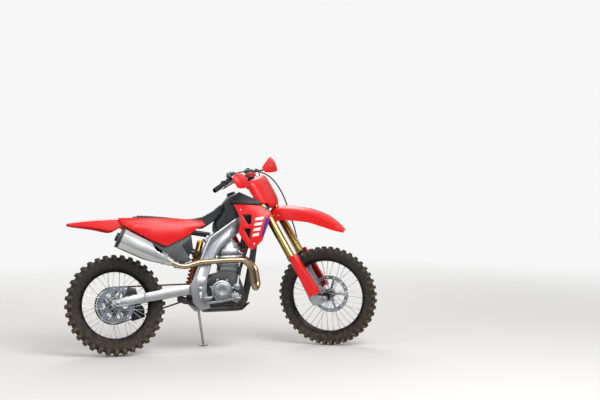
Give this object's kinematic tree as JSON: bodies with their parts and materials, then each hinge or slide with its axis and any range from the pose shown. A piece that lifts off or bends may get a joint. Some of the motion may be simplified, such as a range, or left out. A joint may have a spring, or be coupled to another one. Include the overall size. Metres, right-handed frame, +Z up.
{
  "type": "off-road dual sport motorcycle",
  "caption": "Tall off-road motorcycle with knobbly tyres, wire wheels, long-travel fork, flat seat and hand guards, leaning on its side stand with the bars turned right.",
  "frame": {"origin": "centre of the whole object's box in plan, on the floor", "axes": "+X forward along the machine, +Y to its left, +Z up"},
  "size_m": [2.1126, 0.8093, 1.2882],
  "materials": {
    "frame_alloy": "satin",
    "black_steel": "satin",
    "engine_black": "matte",
    "engine_alloy": "satin",
    "header_metal": "heat tinted",
    "muffler_alloy": "brushed",
    "radiator_core": "satin",
    "red_plastic": "gloss",
    "black_plastic": "satin",
    "grey_plastic": "matte",
    "seat_cover": "matte",
    "bright_steel": "brushed",
    "shock_metal": "satin",
    "spring_paint": "gloss",
    "chain_steel": "dusty",
    "caliper_paint": "satin",
    "skid_plastic": "matte",
    "clamp_alloy": "satin",
    "fork_gold": "anodised",
    "fork_silver": "satin",
    "hose_rubber": "satin",
    "bar_metal": "satin",
    "grip_rubber": "matte",
    "control_black": "satin",
    "pad_cover": "satin",
    "tyre_rubber": "dusty",
    "rim_black": "satin",
    "spoke_steel": "brushed",
    "disc_steel": "brushed"
  },
  "bodies": {
    "chassis": {"main_frame": "frame_alloy", "cradle": "black_steel", "subframe": "black_steel", "crankcase": "engine_black", "cylinder": "engine_black", "engine_covers": "engine_alloy", "header_pipe": "header_metal", "muffler": "muffler_alloy", "radiators": "radiator_core", "shrouds": "red_plastic", "tank_covers": "black_plastic", "fuel_tank": "black_plastic", "seat": "seat_cover", "side_panels": "red_plastic", "airbox": "black_plastic", "airbox_covers": "grey_plastic", "rear_fender": "red_plastic", "swingarm": "frame_alloy", "swingarm_rails": "frame_alloy", "swingarm_pivot": "bright_steel", "rear_axle": "bright_steel", "shock_absorber": "shock_metal", "shock_spring": "spring_paint", "linkage": "black_steel", "chain_guide": "black_plastic", "chain": "chain_steel", "rear_caliper": "caliper_paint", "footpegs": "bright_steel", "foot_levers": "bright_steel", "skid_plate": "skid_plastic"},
    "steering": {"lower_clamp": "clamp_alloy", "upper_clamp": "clamp_alloy", "fork_tubes": "fork_gold", "fork_lowers": "fork_silver", "fork_guards": "red_plastic", "front_axle": "bright_steel", "front_caliper": "caliper_paint", "brake_hose": "hose_rubber", "handlebar": "bar_metal", "grips": "grip_rubber", "hand_controls": "control_black", "handguards": "red_plastic", "bar_pad": "pad_cover", "number_plate": "red_plastic", "front_fender": "red_plastic"},
    "front_wheel": {"front_tyre": "tyre_rubber", "front_rim": "rim_black", "front_hub": "spoke_steel", "front_disc": "disc_steel"},
    "rear_wheel": {"rear_tyre": "tyre_rubber", "rear_rim": "rim_black", "rear_hub": "spoke_steel", "rear_disc": "disc_steel", "rear_sprocket": "chain_steel"},
    "stand": {"side_stand": "bright_steel"}
  },
  "joints": [
    {"name": "steering", "type": "hinge", "parent": "chassis", "child": "steering", "pos_m": [0.33309, -0.04141, 1.01475], "axis": [-0.454, 0.1547, 0.8774], "range_deg": [-9, 77]},
    {"name": "front_wheel_spin", "type": "hinge", "parent": "steering", "child": "front_wheel", "pos_m": [0.74802, -0.19916, 0.34554], "axis": [0.4982, 0.8605, 0.1061], "continuous": true},
    {"name": "rear_wheel_spin", "type": "hinge", "parent": "chassis", "child": "rear_wheel", "pos_m": [-0.71831, -0.16106, 0.33614], "axis": [0, 0.9848, -0.1736], "continuous": true},
    {"name": "side_stand_swing", "type": "hinge", "parent": "chassis", "child": "stand", "pos_m": [-0.12831, -0.0358, 0.26332], "axis": [0.1323, 0.9157, 0.3796], "range_deg": [0, 99]}
  ]
}
